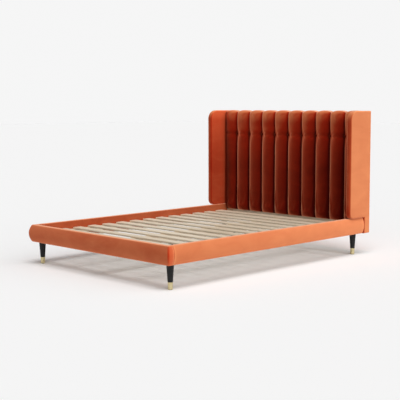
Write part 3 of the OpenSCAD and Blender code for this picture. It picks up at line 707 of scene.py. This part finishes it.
def tuft_buttons():
    """Covered buttons: a domed cap with a tucked rim, pressed into the seams."""
    lo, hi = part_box("tuft_buttons")
    places, radius = button_places()
    whole = bmesh.new()
    profile = [(0.0, 0.0), (0.35, -0.03), (0.62, -0.12), (0.82, -0.26), (0.95, -0.45), (1.0, -0.62),
               (0.96, -0.8), (0.8, -0.95)]
    depth = hi.y - lo.y
    for bx, bz in places:
        bm = bmesh.new()
        points = [bm.verts.new((r * radius, lo.y - t * depth, 0)) for r, t in profile]
        for a, b in zip(points, points[1:]):
            bm.edges.new((a, b))
        bmesh.ops.spin(bm, geom=bm.verts[:] + bm.edges[:], cent=(0, 0, 0), axis=(0, 1, 0), angle=math.tau,
                       steps=32, use_merge=True, dvec=(0, 0, 0))
        bmesh.ops.remove_doubles(bm, verts=bm.verts, dist=1e-6)
        bmesh.ops.translate(bm, vec=(bx, 0, bz), verts=bm.verts)
        mesh = bpy.data.meshes.new("button")
        bm.to_mesh(mesh)
        bm.free()
        whole.from_mesh(mesh)
        bpy.data.meshes.remove(mesh)
    piece = finished("tuft_buttons_velvet", whole, "velvet_buttons", ["tuft_buttons"])
    # Deep painted shade on the buttons.
    mark_painted_light(piece, lambda place, normal: -1.4)


def back_cover():
    """The cloth on the headboard's back, turned in at its edges."""
    lo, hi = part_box("headboard_back_cover")
    bm = block(lo, hi)
    rounded(bm, bm.edges[:], COVER_EDGE_R, 2)
    piece = finished("headboard_back_velvet", bm, "velvet", ["headboard_back_cover"], smooth=False)
    mark_painted_light(piece, lambda place, normal: 0.5)


def longest_axis(name):
    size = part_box(name)[1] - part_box(name)[0]
    return "XYZ"[max(range(3), key=lambda axis: size[axis])]


def slats():
    """The slats with eased edges: a row of separate boards."""
    lo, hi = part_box("slats")
    boards = bmesh.new()
    pitch = (hi.y - lo.y - SLAT_W) / (SLATS - 1)
    for i in range(SLATS):
        y = lo.y + i * pitch
        bm = block((lo.x, y, lo.z), (hi.x, y + SLAT_W, hi.z))
        rounded(bm, bm.edges[:], SLAT_EDGE_R, 3)
        mesh = bpy.data.meshes.new("slat")
        bm.to_mesh(mesh)
        bm.free()
        boards.from_mesh(mesh)
        bpy.data.meshes.remove(mesh)
    finished("slats_eased", boards, "slat_timberX", ["slats"], smooth=False)


def dress_cad_nodes():
    """Gives every CAD node the finish of its material slot, and eased edges where its slot is listed in
    EASED.
    """
    slots = {part["node"]: part["material_slot"] for part in frame["record"]["subparts"]}
    for name, piece in frame["nodes"].items():
        finish = slots[name]
        if finish in WOODS:
            finish += longest_axis(name)
        piece.data.materials.clear()
        piece.data.materials.append(FINISHES[finish])
        if slots[name] in EASED:
            bevel = piece.modifiers.new("eased", "BEVEL")
            bevel.limit_method = "ANGLE"
            bevel.angle_limit = math.radians(50)
            bevel.width = EASED[slots[name]]
            bevel.segments = 2


# Stage

def seen_ray(tree):
    """1 for rays from the camera, gloss and glass, which see the plain backdrop, and 0 for the rest."""
    path = tree.nodes.new("ShaderNodeLightPath")
    value = path.outputs["Is Camera Ray"]
    for kind in ("Is Glossy Ray", "Is Transmission Ray"):
        larger = node(tree, "ShaderNodeMath", operation="MAXIMUM")
        tree.links.new(value, larger.inputs[0])
        tree.links.new(path.outputs[kind], larger.inputs[1])
        value = larger.outputs[0]
    return value


def camera():
    data = bpy.data.cameras.new("camera")
    data.sensor_width = SENSOR_MM
    data.lens = FOCAL_PX / FRAME_PX * SENSOR_MM
    data.clip_end = 60
    made = bpy.data.objects.new("camera", data)
    bpy.context.scene.collection.objects.link(made)
    yaw = Matrix.Rotation(math.radians(CAMERA_YAW), 4, "Z")
    tilt = Matrix.Rotation(math.radians(90 - CAMERA_DOWN), 4, "X")
    roll = Matrix.Rotation(math.radians(CAMERA_ROLL), 4, "Z")
    made.matrix_world = Matrix.Translation(CAMERA_PLACE) @ yaw @ tilt @ roll
    bpy.context.scene.camera = made


def floor():
    """A pale floor that blends with the backdrop and keeps the bed's shadow."""
    bm = bmesh.new()
    bmesh.ops.create_grid(bm, x_segments=2, y_segments=2, size=40)
    mesh = bpy.data.meshes.new("floor")
    bm.to_mesh(mesh)
    bm.free()
    made, tree, shader = material("pale floor", (FLOOR_BOUNCE,) * 3, 1.0, Specular_IOR_Level=0.0)
    seen = node(tree, "ShaderNodeBsdfDiffuse", Color=(FLOOR_SEEN, FLOOR_SEEN, FLOOR_SEEN, 1))
    choice = tree.nodes.new("ShaderNodeMixShader")
    tree.links.new(seen_ray(tree), choice.inputs["Fac"])
    tree.links.new(shader.outputs[0], choice.inputs[1])
    tree.links.new(seen.outputs[0], choice.inputs[2])
    tree.links.new(choice.outputs[0], tree.nodes["Material Output"].inputs["Surface"])
    mesh.materials.append(made)
    piece = bpy.data.objects.new("floor", mesh)
    bpy.context.scene.collection.objects.link(piece)


def sun(name, azimuth, elevation, spread, strength):
    """A sun lamp; azimuth turns from +X towards +Y, and spread is the width of its soft disc in degrees."""
    data = bpy.data.lights.new(name, "SUN")
    data.energy = strength
    data.angle = math.radians(spread)
    made = bpy.data.objects.new(name, data)
    bpy.context.scene.collection.objects.link(made)
    a, e = math.radians(azimuth), math.radians(elevation)
    towards = Vector((math.cos(e) * math.cos(a), math.cos(e) * math.sin(a), math.sin(e)))
    made.rotation_mode = "QUATERNION"
    made.rotation_quaternion = towards.to_track_quat("Z", "Y")


def lights():
    """A studio: plain light all round, more of it from high on the right, and a wide lamp overhead."""
    world = bpy.data.worlds.new("studio")
    bpy.context.scene.world = world
    world.use_nodes = True
    tree = world.node_tree
    fill = tree.nodes["Background"]
    fill.inputs["Color"].default_value = (1, 1, 1, 1)
    where = tree.nodes.new("ShaderNodeTexCoord")
    apart = tree.nodes.new("ShaderNodeSeparateXYZ")
    tree.links.new(where.outputs["Generated"], apart.inputs[0])
    right = node(tree, "ShaderNodeMath", operation="MAXIMUM")
    right.inputs[1].default_value = 0.0
    tree.links.new(apart.outputs["X"], right.inputs[0])
    low = multiply_add(tree, apart.outputs["Z"], SIDE_RISE, 0.15, clamped=True)
    side = multiply_add(tree, right.outputs[0], low, 0.0)
    tree.links.new(multiply_add(tree, side, SIDE_FILL, FILL), fill.inputs["Strength"])
    seen = node(tree, "ShaderNodeBackground", Color=(BACKDROP, BACKDROP, BACKDROP, 1))
    choice = tree.nodes.new("ShaderNodeMixShader")
    tree.links.new(seen_ray(tree), choice.inputs["Fac"])
    tree.links.new(fill.outputs[0], choice.inputs[1])
    tree.links.new(seen.outputs[0], choice.inputs[2])
    tree.links.new(choice.outputs[0], tree.nodes["World Output"].inputs["Surface"])
    sun("key", KEY_AZIMUTH, KEY_ELEVATION, KEY_SPREAD, KEY_STRENGTH)


camera()
lights()
floor()
dress_cad_nodes()
foot_rail()
side_rail("left")
side_rail("right")
wing("left")
wing("right")
channel_pad()
tuft_buttons()
back_cover()
slats()

bpy.context.scene.view_settings.view_transform = "Standard"
